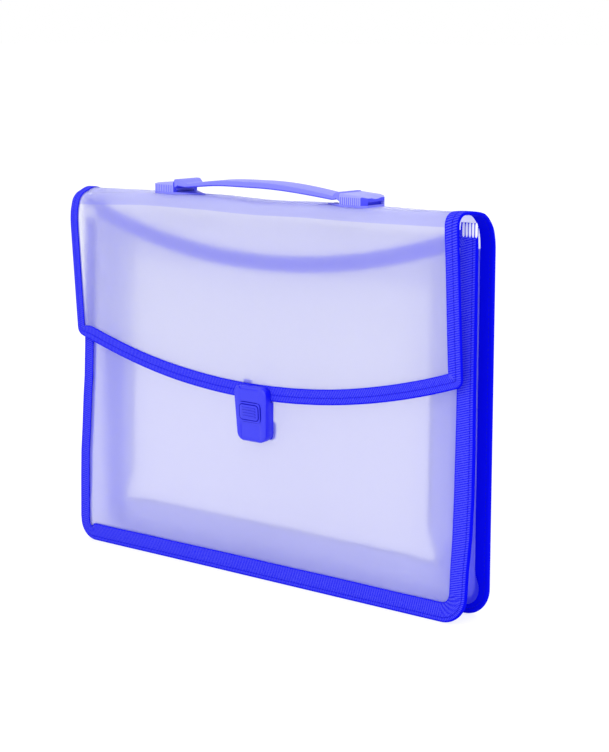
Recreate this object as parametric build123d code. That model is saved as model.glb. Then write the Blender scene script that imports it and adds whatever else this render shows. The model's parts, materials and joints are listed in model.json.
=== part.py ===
from build123d import *
import math
import os

os.makedirs("parts", exist_ok=True)

# Frosted document case that stands on its lower seams, seen from the front along +Y.
# X is the width, Z is up, and the origin is at the centre of the base of the closed case.

# Overall sizes
case_width = 360.0  # over the folded edges of the tape
crown_height = 270.0  # top face of the arched top panel
top_depth = 38.0  # rear tape to front tape, at the crease of the flap
foot_depth = 29.5  # rear tape to front tape, on the ground
mouth_depth = 20.5  # the same, at the top of the front panel

# Sheet, tape and fits
sheet = 0.8  # polypropylene sheet
tape = 0.6  # one ply of the folded tape
tape_face = 11.0  # width of the tape that shows on each face
ply_gap = 0.05  # between the plies of a seam
part_gap = 0.3  # between pieces that move past each other
bottom_radius = 20.0  # outer corner of the case
inner_radius = 3.0  # smallest corner of a folded ply
overrun = 1.0  # cutters run this far past the faces that they cut
through = 60.0  # reach of cutters that go right through

# Top panel
rear_bend = 12.0  # outer radius of the bend above the back
front_bend = 6.0  # outer radius of the bend above the flap
crease_drop = 12.5  # crease lines below the crown
crease_relief = 4.5  # the tape is cut back from each crease
crease_bevel = 1.2  # slope of the sheet's edge beside a crease

# Front panel
mouth_drop = 5.0  # top of the front seam below the crown
mouth_dip = 33.5  # lowest point of the mouth below the top of the seam

# Gusset
side_pleat = 41.0  # outside of the case to the ridge of the pleat, at the sides
bottom_pleat = 35.0  # the same, at the bottom
pleat_ply = 2.5  # width that the slanting ply takes across the pleat
pleat_margin = 0.6  # the pleat starts this far inside the tape
gusset_drop = 24.0  # top of the gusset below the crown

# Back stiffener
stiffener_drop = 16.0  # its top below the crown
stiffener_height = 36.0
stiffener_edge = 18.0  # outside of the case to its ends

# Flap
flap_side = 98.0  # crease to the lower corner
flap_middle = 127.5  # crease to the lowest point
flap_corner = 4.0

# Lock
lock_width = 30.0
lock_foot_width = 26.0
lock_height = 39.5
lock_below_flap = 28.8  # from the flap's lowest point to the foot of the lock
lock_depth = 6.2  # in front of the flap's tape
lock_shoulder = 5.5
lock_foot_radius = 6.0
lock_wall = 1.6
lock_rim = 0.9  # bevel round the front
lock_step = 0.4  # the foot and the back plate are smaller than the front by this much all round
lock_foot_depth = 3.4  # the foot reaches this far behind the front of the flap's tape
lock_floor = 1.2  # thickness of the foot behind the button's spring
lock_notch_width = 18.0  # shallow recess across the top of the front
lock_notch_height = 2.2
lock_notch_depth = 0.6
lock_plate = 1.5
lock_tab_width = 7.0
lock_tab_rise = 2.4
lock_tab_offset = 8.5  # the tab stands this far to the left of the middle
lock_rivet_pitch = 17.0
lock_rivet_rise = 5.5  # above the flap's lowest point
lock_rivet_reach = 3.5
button_width = 16.6
button_height = 10.4
button_corner = 2.2
button_rise = 1.6  # centre of the button above the centre of the lock
button_proud = 1.1
button_gap = 0.3
button_lip = 0.7
button_frame = 1.4  # width of the raised frame round the button
button_frame_height = 0.8
button_lip_thickness = 1.2
button_ribs = 4
rib_size = 0.9
rib_height = 0.5
spring_radius = 3.0
spring_wire = 0.6
spring_turns = 2.5
catch_width = 11.0
catch_height = 7.0
catch_plate_width = 24.0
catch_plate_height = 13.0
catch_plate_thickness = 1.2
catch_corner = 3.0
catch_drop = 12.5  # centre of the catch below the centre of the lock
catch_rivet_pitch = 17.0
post_lead = 0.8
socket_depth = 4.0
dish_width = 18.0  # shallow dish in the front of the lock, below the button
dish_height = 10.0
dish_depth = 0.25
dish_corner = 1.5
rivet_radius = 1.5
rivet_head = 3.0
rivet_head_height = 0.8

# Handle
handle_length = 195.0
handle_depth = 25.0
handle_behind_front = 17.7  # centre of the handle behind the front of the case
cap_length = 21.5
cap_height = 7.4  # at its inner end
cap_brow_height = 6.3  # where the bevel of the outer end begins
cap_end_height = 4.8
cap_brow = 6.0  # length of that bevel
cap_chamfer = 3.7
cap_edge = 0.7
scoop_radius = 16.0  # thumb scoop across the cap's outer end
scoop_depth = 1.0
cap_rib_margin = 0.8
cap_ribs = 10
cap_rib_width = 0.7
cap_rib_rise = 0.35
cap_rib_tall = 5.0
base_thickness = 1.5
base_length = 47.5
base_tip_width = 7.0
end_notch_height = 2.4
end_notch_depth = 3.0
base_rivet_end = 8.0
base_rivet_tip = 6.0
backing_depth = 14.0
backing_margin = 3.0  # the plate under the sheet ends this far inside the base
tongue_clearance = 0.4
strap_lift = 2.0  # how far the strap floats up in its caps
strap_edge = 1.0
strap_depth = 24.0  # at the shoulders
strap_neck_depth = 19.0
strap_grip_depth = 22.0
strap_thickness = 3.6
strap_neck_thickness = 3.1
strap_rise = 11.2  # top of the strap's middle above the panel
strap_dip = 7.4  # top of the strap at its necks
strap_shoulder = 8.9  # top of the shoulders
shoulder_length = 10.0  # from the cap to the neck
shoulder_flare = 3.0  # the shoulder thickens to the cap's height over this length
shoulder_thickness = 5.0
bow_sections = 7  # cross-sections from the middle of the grip to each neck
shoulder_sections = 3
tongue_length = 10.0
tongue_depth = 15.0
tongue_thickness = 1.8
backing_thickness = 1.2

# Sizes that follow from those above
seam = 2 * tape + 2 * sheet + 3 * ply_gap
hem = 2 * tape + sheet + 2 * ply_gap
lock_centre = -flap_middle - lock_below_flap + lock_height / 2  # down the flap from its crease
mouth_side_height = crown_height - mouth_drop
mouth_low = mouth_side_height - mouth_dip
gusset_top = crown_height - gusset_drop
crease_z = crown_height - crease_drop
lean = math.atan((foot_depth - mouth_depth) / mouth_side_height)
panel_face = -tape - ply_gap  # front face of the front panel's sheet, from the front seam's face

# The closed flap leans back until the foot of its lock lies on the catch plate
catch_foot = catch_drop - lock_centre + catch_plate_height / 2  # from the crease to the plate's lower end
foot_offset = hem / 2 + ply_gap - lock_foot_depth
seat_slope = catch_foot * math.tan(lean) - foot_offset
seat_distance = (
    top_depth
    - foot_depth
    - hem / 2
    + (crease_z - seam * math.sin(lean)) * math.tan(lean)
    - (panel_face + catch_plate_thickness) / math.cos(lean)
    - part_gap
)
seat_angle = math.asin(seat_distance / math.hypot(catch_foot, seat_slope))
flap_angle = seat_angle - math.atan2(seat_slope, catch_foot)

# The depth of the case runs from its rear tape to the front of the button
rib_span = button_height - 2 * button_corner
button_top = lock_centre + button_rise + rib_span / 2 + rib_size / 2
button_front = hem / 2 + ply_gap + lock_depth + button_proud + rib_height
lock_reach = button_front * math.cos(flap_angle) + button_top * math.sin(flap_angle)
case_depth = top_depth - hem / 2 + lock_reach  # rear tape to the front of the button
rear_y = case_depth / 2
crease_y = rear_y - top_depth  # front of the tape at the flap's crease
front_y = rear_y - foot_depth
tuck = tape + ply_gap  # the fold of the tape lies this far outside the sheet's edge
back_mid_y = rear_y - hem / 2
flap_mid_y = crease_y + hem / 2

# Planes that face the front: local x is the width and local y goes up the panel
back_plane = Plane(origin=(0, rear_y, 0), x_dir=(1, 0, 0), z_dir=(0, -1, 0))
front_plane = Plane(
    origin=(0, front_y, seam * math.sin(lean)),
    x_dir=(1, 0, 0),
    z_dir=(0, -math.cos(lean), math.sin(lean)),
)
flap_plane = Plane(
    origin=(0, flap_mid_y, crease_z),
    x_dir=(1, 0, 0),
    z_dir=(0, -math.cos(flap_angle), -math.sin(flap_angle)),
)


def save(name, shape):
    """Write one node."""
    shape.label = name
    export_step(shape, f"parts/{name}.step")


def layer(plane, outline, near, far):
    """Solid of an outline on a plane, from one distance in front of the plane to another."""
    return extrude(plane.offset(near) * outline, amount=far - near)


def case_outline(side, foot, top, radius=None):
    """Rounded U of the case, drawn in from its outer edge."""
    if radius is None:
        radius = bottom_radius - side
    radius = max(radius, inner_radius)
    half = case_width / 2 - side
    with BuildSketch() as outline:
        with BuildLine():
            FilletPolyline(
                (-half, top), (-half, foot), (half, foot), (half, top), radius=radius
            )
            Line((half, top), (-half, top))
        make_face()
    return outline.sketch


def u_strip(plane, outer, inner, near, far, top):
    """Strip along the left, bottom and right edges of a panel."""
    outside = layer(plane, case_outline(outer, outer, top), near, far)
    inside = layer(plane, case_outline(inner, inner, top + overrun), near, far)
    return outside - inside


def u_binding(plane, direction, top, thickness):
    """Tape folded over the edge of a seam: two faces and the fold between them."""
    near, far = sorted((0, direction * thickness))
    tape_strip = u_strip(plane, 0, tape_face, near, far, top)
    slot_near, slot_far = sorted((direction * tape, direction * (thickness - tape)))
    slot = layer(plane, case_outline(tape, tape, top + overrun), slot_near, slot_far)
    return tape_strip - slot


def mouth_circle(drop):
    """Area inside the circle whose lower arc is the mouth, moved down the panel."""
    half = case_width / 2
    radius = (half**2 + mouth_dip**2) / (2 * mouth_dip)
    centre = mouth_low + radius
    return Pos(0, centre) * Circle(radius + drop)


def back_panel():
    edge = case_outline(tuck, tuck, crease_z - part_gap - sheet / 2)
    start = tape + ply_gap
    panel = layer(back_plane, edge, start, start + sheet)
    top = crease_z - part_gap - sheet / 2
    outer = back_mid_y + sheet / 2
    with BuildSketch(Plane.YZ) as wedge:
        Polygon(
            (outer - sheet, top),
            (outer, top - crease_bevel),
            (outer + overrun, top - crease_bevel),
            (outer + overrun, top + overrun),
            (outer - sheet, top + overrun),
            align=None,
        )
    return panel - extrude(wedge.sketch, amount=case_width, both=True)


def back_stiffener():
    start = tape + 2 * ply_gap + sheet
    half = case_width / 2 - stiffener_edge
    centre = crown_height - stiffener_drop - stiffener_height / 2
    area = Pos(0, centre) * Rectangle(2 * half, stiffener_height)
    return layer(back_plane, area, start, start + sheet)


def gusset():
    """Two flanges in the seams, and a pleat that folds inwards between them."""
    start = tape + 2 * ply_gap + sheet
    above = gusset_top + through
    fold = tape_face + pleat_margin
    inner = fold + pleat_ply
    rear_flange = u_strip(back_plane, tuck, inner, start, start + sheet, gusset_top)
    front_flange = u_strip(front_plane, tuck, inner, -start - sheet, -start, gusset_top)
    half_lean = lean / 2
    ridge_plane = Plane(
        origin=(0, (rear_y + front_y) / 2, 0),
        x_dir=(1, 0, 0),
        z_dir=(0, -math.cos(half_lean), math.sin(half_lean)),
    )

    def hollow(edge, ridge_side, ridge_foot):
        rear = back_plane.offset(start) * case_outline(edge, edge, above)
        ridge = ridge_plane * case_outline(ridge_side, ridge_foot, above, inner_radius)
        front = front_plane.offset(-start) * case_outline(edge, edge, above)
        return loft([rear, ridge, front], ruled=True)

    outside = hollow(fold, side_pleat, bottom_pleat)
    pocket = hollow(inner, side_pleat + pleat_ply, bottom_pleat + pleat_ply)
    pleat = outside - pocket
    cap = Pos(0, 0, above) * Box(2 * case_width, 4 * top_depth, 2 * through)
    return pleat + rear_flange + front_flange - cap


def rear_binding():
    return u_binding(back_plane, 1, crease_z - crease_relief, seam)


def front_panel():
    edge = case_outline(tuck, tuck, mouth_side_height)
    start = tape + ply_gap
    panel = layer(front_plane, edge, -start - sheet, -start)
    mouth = layer(front_plane, mouth_circle(tuck), -seam, 0)
    return panel - mouth


def front_binding():
    binding = u_binding(front_plane, -1, mouth_side_height, seam)
    mouth = layer(front_plane, mouth_circle(0), -seam - overrun, overrun)
    return binding - mouth


def mouth_binding():
    """Tape folded over the curved edge, between the two side tapes."""
    half = case_width / 2 - tape_face - ply_gap
    span = Pos(0, crown_height / 2) * Rectangle(2 * half, crown_height)
    ring = span & mouth_circle(tape_face)
    band = layer(front_plane, ring, -hem, 0)
    band -= layer(front_plane, mouth_circle(0), -hem - overrun, overrun)
    slot = layer(front_plane, mouth_circle(tape_face + overrun), -hem + tape, -tape)
    slot -= layer(front_plane, mouth_circle(tape), -hem - overrun, overrun)
    return band - slot


def arch_area(inset):
    """Side view of the space under the arched top, drawn in from its outer face."""
    rear = rear_y - tape - ply_gap - inset
    front = crease_y + tape + ply_gap + inset
    top = crown_height - inset
    with BuildSketch(Plane.YZ) as area:
        with BuildLine():
            FilletPolyline(
                (rear, crease_z),
                (rear, top),
                (front, top),
                (front, crease_z),
                radius=(rear_bend - inset, front_bend - inset),
            )
            Line((front, crease_z), (rear, crease_z))
        make_face()
    return area.sketch


def top_panel():
    half = case_width / 2 - tuck
    ring = arch_area(0) - arch_area(sheet)
    panel = extrude(ring, amount=half, both=True)
    hinge = Pos(0, back_mid_y, crease_z) * Rot(0, 90, 0) * Cylinder(sheet / 2, 2 * half)
    end = sheet / 2 + part_gap
    with BuildSketch(Plane.YZ) as wedge:
        Polygon(
            (flap_mid_y + sheet, crease_z - overrun),
            (flap_mid_y + sheet, crease_z + end),
            (flap_mid_y + sheet / 2, crease_z + end),
            (flap_mid_y - sheet / 2, crease_z + end + crease_bevel),
            (flap_mid_y - sheet, crease_z + end + crease_bevel),
            (flap_mid_y - sheet, crease_z - overrun),
            align=None,
        )
    return panel + hinge - extrude(wedge.sketch, amount=case_width, both=True)


def top_binding(side):
    """Tape folded over one end of the arched panel."""
    outer_edge = case_width / 2
    inner_edge = outer_edge - tape_face
    area = arch_area(-ply_gap - tape) - arch_area(sheet + ply_gap + tape)
    slot = arch_area(-ply_gap) - arch_area(sheet + ply_gap)
    strip = extrude(area, amount=outer_edge) - extrude(area, amount=inner_edge)
    strip -= extrude(slot, amount=outer_edge - tape)
    floor_centre = crease_z + crease_relief - through
    floor = Pos(0, 0, floor_centre) * Box(2 * case_width, 4 * top_depth, 2 * through)
    strip -= floor
    if side < 0:
        strip = mirror(strip, about=Plane.YZ)
    return strip


def flap_outline(inset, top):
    """Flap with straight sides and a convex lower edge, drawn in from the tape's fold."""
    half = case_width / 2 - inset
    dip = flap_middle - flap_side
    full = case_width / 2
    radius = (full**2 + dip**2) / (2 * dip) - inset
    centre = -flap_middle + inset + radius
    box = Pos(0, (top - 2 * flap_middle) / 2) * Rectangle(2 * half, top + 2 * flap_middle)
    area = box & (Pos(0, centre) * Circle(radius))
    corners = area.vertices().filter_by(lambda v: v.Y < top - flap_side / 2)
    return fillet(corners, flap_corner)


def flap_panel():
    area = flap_outline(tuck, 0)
    panel = layer(flap_plane, area, -sheet / 2, sheet / 2)
    half = case_width / 2 - tuck
    hinge = Pos(0, flap_mid_y, crease_z) * Rot(0, 90, 0) * Cylinder(sheet / 2, 2 * half)
    return panel + hinge


def flap_binding():
    half = hem / 2
    edge = layer(flap_plane, flap_outline(0, -crease_relief), -half, half)
    window = flap_outline(tape_face, -crease_relief + overrun)
    edge -= layer(flap_plane, window, -half, half)
    slot = flap_outline(tape, -crease_relief + overrun)
    return edge - layer(flap_plane, slot, -half + tape, half - tape)


# Lock: its plane lies on the front of the flap's tape, at the centre of the housing
lock_origin = flap_plane.from_local_coords((0, lock_centre, hem / 2 + ply_gap))
lock_plane = Plane(origin=lock_origin, x_dir=(1, 0, 0), z_dir=flap_plane.z_dir)
flap_back = -hem - 2 * ply_gap  # rear face of the flap's tape, from the lock's plane
lap_line = lock_below_flap - lock_height / 2  # lowest point of the flap, from the lock's centre
spring_seat = lock_floor - lock_foot_depth  # floor of the button's well


def lock_outline(inset):
    half = lock_width / 2 - inset
    foot = lock_foot_width / 2 - inset
    high = lock_height / 2 - inset
    with BuildSketch() as outline:
        with BuildLine():
            FilletPolyline(
                (-half, high),
                (-foot, -high),
                (foot, -high),
                (half, high),
                radius=(lock_shoulder, lock_foot_radius, lock_foot_radius, lock_shoulder),
                close=True,
            )
        make_face()
    return outline.sketch


def button_window(gap):
    area = Rectangle(button_width + 2 * gap, button_height + 2 * gap)
    return Pos(0, button_rise) * fillet(area.vertices(), button_corner)


def studs(plane, places, radius, near, far):
    """Round studs, or the cutters of round holes, at several places on a plane."""
    solids = [layer(plane, Pos(x, y) * Circle(radius), near, far) for x, y in places]
    return Part() + solids


def below_flap(gap):
    """Area of the lock that hangs below the flap's edge."""
    return Pos(0, lap_line - gap - lock_height) * Rectangle(2 * lock_width, 2 * lock_height)


lock_rivet_places = [(side * lock_rivet_pitch / 2, lap_line + lock_rivet_rise) for side in (-1, 1)]


def rivet_holes(near, far):
    return studs(lock_plane, lock_rivet_places, rivet_radius + ply_gap, near, far)


def lock_housing():
    """Front shell: lies on the flap, steps back below it, and has the button's window."""
    body = layer(lock_plane, lock_outline(0), 0, lock_depth)
    front = body.faces().sort_by(Axis(lock_plane.origin, lock_plane.z_dir)).last
    body = chamfer(front.edges(), lock_rim)
    notch = RectangleRounded(lock_notch_width, 2 * lock_notch_height, lock_notch_height / 2)
    notch = Pos(0, lock_height / 2) * notch
    body -= layer(lock_plane, notch, lock_depth - lock_notch_depth, lock_depth + overrun)
    frame = button_window(button_gap + button_frame)
    body += layer(lock_plane, frame, lock_depth - lock_wall, lock_depth + button_frame_height)
    foot = lock_outline(lock_step) & below_flap(part_gap)
    body += layer(lock_plane, foot, -lock_foot_depth, 0)
    cavity = button_window(button_lip + part_gap)
    body -= layer(lock_plane, cavity, spring_seat, lock_depth - lock_wall)
    body -= layer(lock_plane, button_window(button_gap), 0, lock_depth + 2 * overrun)
    socket = Rectangle(catch_width + 2 * part_gap, catch_height + 2 * part_gap)
    socket = Pos(0, -catch_drop) * socket
    body -= layer(lock_plane, socket, -lock_foot_depth - overrun, socket_depth)
    dish = Pos(0, -catch_drop) * RectangleRounded(dish_width, dish_height, dish_corner)
    body -= layer(lock_plane, dish, lock_depth - dish_depth, lock_depth + overrun)
    return body - rivet_holes(-overrun, lock_rivet_reach)


def lock_back_plate():
    """Plate behind the flap, with a small tab that shows above the housing."""
    area = lock_outline(lock_step) - below_flap(0)
    tab_height = lock_tab_rise + lock_shoulder
    tab_low = lock_height / 2 - lock_shoulder
    tab_place = Pos(-lock_tab_offset, tab_low + tab_height / 2)
    area += tab_place * Rectangle(lock_tab_width, tab_height)
    plate = layer(lock_plane, area, flap_back - lock_plate, flap_back)
    return plate - rivet_holes(-through, 0)


def lock_rivets():
    """Posts through the flap, headed over behind the plate."""
    rear = flap_back - lock_plate
    pins = studs(lock_plane, lock_rivet_places, rivet_radius, rear, lock_rivet_reach - ply_gap)
    return pins + studs(lock_plane, lock_rivet_places, rivet_head, rear - rivet_head_height, rear)


def lock_button():
    """Push button with a lip behind the window and ribs across its face."""
    face = lock_depth + button_proud
    lip_front = lock_depth - lock_wall - ply_gap
    lip_back = lip_front - button_lip_thickness
    button = layer(lock_plane, button_window(0), lip_back, face)
    button += layer(lock_plane, button_window(button_lip), lip_back, lip_front)
    for index in range(button_ribs):
        height = button_rise - rib_span / 2 + index * rib_span / (button_ribs - 1)
        rib = Pos(0, height) * Rectangle(button_width - 2 * button_corner, rib_size)
        button += layer(lock_plane, rib, face, face + rib_height)
    return button


def lock_spring():
    """Coil spring between the floor of the housing and the button."""
    ceiling = lock_depth - lock_wall - ply_gap - button_lip_thickness
    length = ceiling - spring_seat - spring_wire - 2 * ply_gap
    coil_line = Helix(pitch=length / spring_turns, height=length, radius=spring_radius)
    section = Plane(origin=coil_line @ 0, z_dir=coil_line % 0) * RegularPolygon(spring_wire / 2, 6)
    coil = sweep(section, path=coil_line, is_frenet=True)
    low = spring_seat + spring_wire / 2 + ply_gap
    seat = lock_plane.from_local_coords((0, button_rise, low))
    return Plane(origin=seat, x_dir=(1, 0, 0), z_dir=lock_plane.z_dir) * coil


# Catch: its plane is the front panel's, and its post points along the lock
catch_point = lock_plane.from_local_coords((0, -catch_drop, 0))
catch_height_on_panel = front_plane.to_local_coords(catch_point).Y
catch_rivet_places = [
    (side * catch_rivet_pitch / 2, catch_height_on_panel) for side in (-1, 1)
]


def catch_area(width, height):
    return Pos(0, catch_height_on_panel) * RectangleRounded(width, height, catch_corner)


def catch_holes():
    radius = rivet_radius + ply_gap
    return studs(front_plane, catch_rivet_places, radius, -2 * seam, 2 * seam)


def lock_catch():
    """Plate on the front panel with the post that enters the lock."""
    plate = layer(
        front_plane,
        catch_area(catch_plate_width, catch_plate_height),
        panel_face,
        panel_face + catch_plate_thickness,
    )
    post_outline = Pos(0, -catch_drop) * Rectangle(catch_width, catch_height)
    post_root = -lock_foot_depth - part_gap - catch_plate_thickness
    post = layer(lock_plane, post_outline, post_root, socket_depth - part_gap)
    post_tip = post.faces().sort_by(Axis(lock_plane.origin, lock_plane.z_dir)).last
    post = chamfer(post_tip.edges(), post_lead)
    return plate + post - catch_holes()


def catch_backing_plate():
    rear = panel_face - sheet - ply_gap
    area = catch_area(catch_plate_width, catch_plate_height)
    return layer(front_plane, area, rear - backing_thickness, rear) - catch_holes()


def catch_rivets():
    """Rivets flush with the catch and headed over behind the panel."""
    rear = panel_face - sheet - ply_gap - backing_thickness
    front = panel_face + catch_plate_thickness
    pins = studs(front_plane, catch_rivet_places, rivet_radius, rear, front)
    return pins + studs(front_plane, catch_rivet_places, rivet_head, rear - rivet_head_height, rear)


# Handle: heights are above the crown of the panel, and y is from its own centre line
handle_y = crease_y + handle_behind_front
handle_place = Pos(0, handle_y, crown_height)
cap_inner = handle_length / 2 - cap_length
base_low = ply_gap
base_high = base_low + base_thickness
tongue_low = base_high + tongue_clearance
handle_rivet_places = [
    (handle_length / 2 - base_rivet_end, 0),
    (handle_length / 2 - base_length + base_rivet_tip, 0),
]


def handle_holes():
    radius = rivet_radius + ply_gap
    return studs(Plane.XY, handle_rivet_places, radius, -rear_bend, rear_bend)


def two_sides(shape):
    return [shape, mirror(shape, about=Plane.YZ)]


def handle_base():
    """Plate under the cap, drawn in to a narrow tip towards the middle of the case."""
    outer = handle_length / 2
    half = handle_depth / 2
    tip = base_tip_width / 2
    shoulder = outer - cap_length
    with BuildSketch() as plan:
        Polygon(
            (outer - cap_chamfer, half),
            (outer, half - cap_chamfer),
            (outer, -half + cap_chamfer),
            (outer - cap_chamfer, -half),
            (shoulder, -half),
            (outer - base_length, -tip),
            (outer - base_length, tip),
            (shoulder, half),
            align=None,
        )
    plate = layer(Plane.XY, plan.sketch, base_low, base_high)
    return plate - handle_holes()


def handle_cap():
    """Cap whose top falls to a scooped outer end, with ribbed sides and a slot for the strap."""
    outer = handle_length / 2
    half = handle_depth / 2
    brow = outer - cap_brow
    with BuildSketch(Plane.XZ) as side:
        Polygon(
            (cap_inner, 0),
            (cap_inner, cap_height),
            (brow, cap_brow_height),
            (outer, cap_end_height),
            (outer, 0),
            align=None,
        )
    with BuildSketch() as plan:
        Polygon(
            (outer - cap_chamfer, half),
            (outer, half - cap_chamfer),
            (outer, -half + cap_chamfer),
            (outer - cap_chamfer, -half),
            (cap_inner, -half),
            (cap_inner, half),
            align=None,
        )
    cap = extrude(side.sketch, amount=half, both=True)
    cap &= layer(Plane.XY, plan.sketch, 0, cap_height)
    above = cap.edges().filter_by(lambda e: e.center().Z > cap_end_height)
    cap = chamfer(above.filter_by(lambda e: abs(e.center().Y) > half - ply_gap), cap_edge)

    fall = math.atan2(cap_brow_height - cap_end_height, cap_brow)
    middle = (cap_brow_height + cap_end_height) / 2
    scoop = Rot(0, 90 + math.degrees(fall), 0) * Cylinder(scoop_radius, 3 * cap_brow)
    cap -= Pos(outer, 0, middle - scoop_depth + scoop_radius) * scoop

    cap = Pos(0, 0, base_high) * cap
    slot_high = tongue_low + tongue_thickness + strap_lift + part_gap
    slot_depth = tongue_length + 2 * part_gap
    slot = Pos(cap_inner + slot_depth / 2, 0, (tongue_low - part_gap + slot_high) / 2) * Box(
        slot_depth, tongue_depth + 2 * part_gap, slot_high - tongue_low + part_gap
    )
    mouth = Pos(outer, 0, base_high + end_notch_height / 2) * Box(
        2 * end_notch_depth, handle_depth - 2 * cap_chamfer, end_notch_height
    )
    cap -= [slot, mouth]

    span = cap_length - cap_chamfer - 2 * cap_rib_margin - cap_rib_width
    ribs = []
    for index in range(cap_ribs):
        x = cap_inner + cap_rib_margin + cap_rib_width / 2 + index * span / (cap_ribs - 1)
        for face in (-1, 1):
            tip = face * (half + cap_rib_rise)
            root = face * (half - cap_rib_rise)
            ribs.append(
                Polygon(
                    (x + face * cap_rib_width / 2, root),
                    (x, tip),
                    (x - face * cap_rib_width / 2, root),
                    align=None,
                )
            )
    return cap + layer(Plane.XY, Sketch() + ribs, base_high, base_high + cap_rib_tall)


def handle_backing_plates():
    """Plates under the sheet that spread the load of the handle's rivets."""
    length = base_length - 2 * backing_margin
    centre = handle_length / 2 - base_length / 2
    area = Pos(centre, 0) * Rectangle(length, backing_depth)
    low = -sheet - ply_gap - backing_thickness
    plate = layer(Plane.XY, area, low, low + backing_thickness)
    return plate - handle_holes()


def handle_rivets():
    """Rivets through base, sheet and backing plate, flush in the base."""
    low = -sheet - ply_gap - backing_thickness
    pins = studs(Plane.XY, handle_rivet_places, rivet_radius, low, base_high)
    return pins + studs(Plane.XY, handle_rivet_places, rivet_head, low - rivet_head_height, low)


def handle_strap():
    """Moulded strap: bowed grip, necks, flared shoulders and a tongue that floats in each cap."""
    end = cap_inner - part_gap
    neck = end - shoulder_length
    stations = []
    for index in range(bow_sections + 1):
        share = index / bow_sections
        bow = math.cos(share * math.pi / 2)
        top = strap_dip + bow * (strap_rise - strap_dip)
        thickness = strap_neck_thickness + bow * (strap_thickness - strap_neck_thickness)
        depth = strap_neck_depth + bow * (strap_grip_depth - strap_neck_depth)
        stations.append((share * neck, top, thickness, depth))
    for index in range(1, shoulder_sections + 1):
        share = index / shoulder_sections
        ease = (1 - math.cos(share * math.pi)) / 2
        top = strap_dip + ease * (strap_shoulder - strap_dip)
        thickness = strap_neck_thickness + ease * (shoulder_thickness - strap_neck_thickness)
        depth = strap_neck_depth + ease * (strap_depth - strap_neck_depth)
        stations.append((neck + share * (shoulder_length - shoulder_flare), top, thickness, depth))
    stations.append((end, strap_shoulder, strap_shoulder - tongue_low, strap_depth))
    mirrored = [(-x, *sizes) for x, *sizes in stations[:0:-1]]
    sections = []
    for x, top, thickness, depth in mirrored + stations:
        plane = Plane(origin=(x, 0, top - thickness / 2), x_dir=(0, 1, 0), z_dir=(1, 0, 0))
        sections.append(plane * chamfer(Rectangle(depth, thickness).vertices(), strap_edge))
    strap = loft(sections, ruled=True)
    for direction in (-1, 1):
        centre = direction * (end + (tongue_length - overrun) / 2)
        strap += Pos(centre, 0, tongue_low + tongue_thickness / 2) * Box(
            tongue_length + overrun, tongue_depth, tongue_thickness
        )
    return strap


save("back_panel", back_panel())
save("back_stiffener", back_stiffener())
save("gusset", gusset())
save("rear_binding", rear_binding())

save("front_panel", front_panel() - catch_holes())
save("front_binding", front_binding())
save("mouth_binding", mouth_binding())
save("lock_catch", lock_catch())
save("catch_backing_plate", catch_backing_plate())
save("catch_rivets", catch_rivets())

holes_right, holes_left = two_sides(handle_place * handle_holes())
save("top_panel", top_panel() - holes_right - holes_left)
save("top_binding_right", top_binding(1))
save("top_binding_left", top_binding(-1))
base_right, base_left = two_sides(handle_place * handle_base())
save("handle_base_right", base_right)
save("handle_base_left", base_left)
cap_right, cap_left = two_sides(handle_place * handle_cap())
save("handle_cap_right", cap_right)
save("handle_cap_left", cap_left)
save("handle_backing_plates", Compound(two_sides(handle_place * handle_backing_plates())))
save("handle_rivets", Compound(two_sides(handle_place * handle_rivets())))
save("handle_strap", handle_place * handle_strap())

flap_holes = rivet_holes(-through / 2, lock_depth)
save("flap_panel", flap_panel() - flap_holes)
save("flap_binding", flap_binding() - flap_holes)
save("lock_housing", lock_housing())
save("lock_back_plate", lock_back_plate())
save("lock_rivets", lock_rivets())
save("lock_spring", lock_spring())
save("lock_button", lock_button())
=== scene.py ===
import json
import math

import bmesh
import bpy
import numpy as np
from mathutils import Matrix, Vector


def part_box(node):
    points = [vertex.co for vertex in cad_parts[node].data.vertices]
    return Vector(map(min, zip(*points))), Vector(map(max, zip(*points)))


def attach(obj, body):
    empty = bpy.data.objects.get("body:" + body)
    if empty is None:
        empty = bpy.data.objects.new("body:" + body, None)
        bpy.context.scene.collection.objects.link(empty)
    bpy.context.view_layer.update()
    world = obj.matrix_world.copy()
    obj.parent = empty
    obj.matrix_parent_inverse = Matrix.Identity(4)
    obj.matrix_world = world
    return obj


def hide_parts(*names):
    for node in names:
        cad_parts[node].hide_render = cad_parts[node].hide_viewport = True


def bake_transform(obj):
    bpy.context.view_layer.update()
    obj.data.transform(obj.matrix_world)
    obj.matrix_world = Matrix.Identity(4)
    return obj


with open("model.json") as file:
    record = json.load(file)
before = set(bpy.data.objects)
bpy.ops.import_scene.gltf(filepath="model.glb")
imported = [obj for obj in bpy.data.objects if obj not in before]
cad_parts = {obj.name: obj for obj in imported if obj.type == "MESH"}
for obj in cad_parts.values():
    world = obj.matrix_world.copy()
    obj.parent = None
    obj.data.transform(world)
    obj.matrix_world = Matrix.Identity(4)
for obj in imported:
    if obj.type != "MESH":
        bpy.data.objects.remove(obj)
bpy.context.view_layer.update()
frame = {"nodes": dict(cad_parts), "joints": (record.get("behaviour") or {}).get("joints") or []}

# Frosted document case with a bound edge, a flap with a push lock and a moulded handle.
# Everything is in metres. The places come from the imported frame.

mm = 0.001
joints = {j["name"]: j for j in frame["joints"]}


def hexColour(code):
    # sRGB hex to the linear colour that a shader socket takes
    channels = [int(code[i:i + 2], 16) / 255 for i in (1, 3, 5)]
    linear = [c / 12.92 if c <= 0.04045 else ((c + 0.055) / 1.055) ** 2.4 for c in channels]
    return (*linear, 1.0)


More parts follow.
